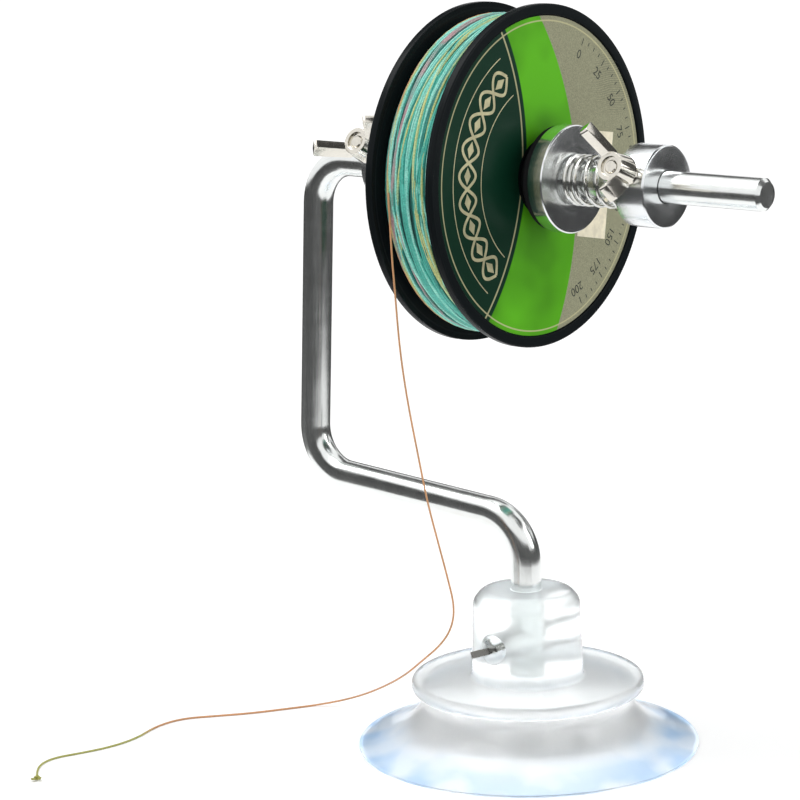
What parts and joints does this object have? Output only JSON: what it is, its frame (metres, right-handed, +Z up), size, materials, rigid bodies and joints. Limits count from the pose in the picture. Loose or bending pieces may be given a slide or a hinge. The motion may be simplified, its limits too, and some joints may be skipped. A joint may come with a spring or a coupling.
{
  "type": "fishing line winder",
  "caption": "Bench winder for fishing line: a suction foot carries a bent rod whose level spindle holds a line spool between cones, with a spring brake and wing-screw collars.",
  "frame": {"origin": "centre of the suction foot's rim, on the table", "axes": "+Z up, +X along the spindle towards its free tip, Y to the side so that the clamp screws point to -Y and up"},
  "size_m": [0.1648, 0.1456, 0.1927],
  "materials": {
    "clear_pvc": "clear soft PVC, glossy",
    "rod_aluminium": "drawn aluminium, satin",
    "turned_aluminium": "fine turned, bright",
    "nickel": "nickel plated, bright",
    "spring_steel": "bright drawn wire",
    "pin_steel": "zinc plated wire",
    "black_rubber": "matt black",
    "black_plastic": "moulded, semi gloss",
    "label_print": "printed and varnished",
    "line_braid": "tightly braided line",
    "tail_braid": "tightly braided line"
  },
  "bodies": {
    "root": {"suction_cup": "clear_pvc", "crank_rod": "rod_aluminium", "split_pin": "pin_steel", "line_tail": "tail_braid", "line_end_knot": "tail_braid"},
    "rear_stop": {"rear_collar": "turned_aluminium", "spacer_sleeve": "turned_aluminium", "rear_pressure_disc": "turned_aluminium"},
    "rear_screw": {"rear_clamp_stud": "nickel"},
    "rear_wings": {"rear_wing_head": "nickel"},
    "spool": {"spool_drum": "black_plastic", "spool_rear_flange": "black_plastic", "spool_front_flange": "black_plastic", "rear_label": "label_print", "front_label": "label_print", "line_core": "line_braid", "wound_line": "line_braid", "rear_cone": "black_rubber", "front_cone": "black_rubber"},
    "brake_disc": {"front_pressure_disc": "turned_aluminium", "brake_spring": "spring_steel"},
    "front_clamp": {"front_collar": "turned_aluminium"},
    "front_screw": {"front_clamp_stud": "nickel"},
    "front_wings": {"front_wing_head": "nickel"}
  },
  "joints": [
    {"name": "spool_spin", "type": "hinge", "parent": "root", "child": "spool", "pos_m": [0, 0, 0.1496], "axis": [1, 0, 0], "continuous": true},
    {"name": "brake_disc_slide", "type": "slide", "parent": "root", "child": "brake_disc", "axis": [1, 0, 0], "range_m": [0, 0.006], "stiffness_N_per_m": 700, "deforming": ["brake_spring"]},
    {"name": "front_clamp_slide", "type": "slide", "parent": "root", "child": "front_clamp", "axis": [1, 0, 0], "range_m": [0, 0.024]},
    {"name": "front_wing_turn", "type": "hinge", "parent": "front_screw", "child": "front_wings", "pos_m": [0.04158, 0, 0.1496], "axis": [0, -0.9323, 0.3616], "range_deg": [0, 1080.01]},
    {"name": "front_screw_out", "type": "slide", "parent": "front_clamp", "child": "front_screw", "axis": [0, -0.9323, 0.3616], "range_m": [0, 0.0024]},
    {"name": "rear_stop_slide", "type": "slide", "parent": "root", "child": "rear_stop", "axis": [-1, 0, 0], "range_m": [0, 0.009]},
    {"name": "rear_wing_turn", "type": "hinge", "parent": "rear_screw", "child": "rear_wings", "pos_m": [-0.04047, 0, 0.1496], "axis": [0, -0.9011, 0.4337], "range_deg": [0, 1080.01]},
    {"name": "rear_screw_out", "type": "slide", "parent": "rear_stop", "child": "rear_screw", "axis": [0, -0.9011, 0.4337], "range_m": [0, 0.0024]}
  ],
  "couplings": [
    {"joint": "front_wing_turn", "follows": "front_screw_out", "rad_per_m": 7854},
    {"joint": "rear_wing_turn", "follows": "rear_screw_out", "rad_per_m": 7854}
  ]
}
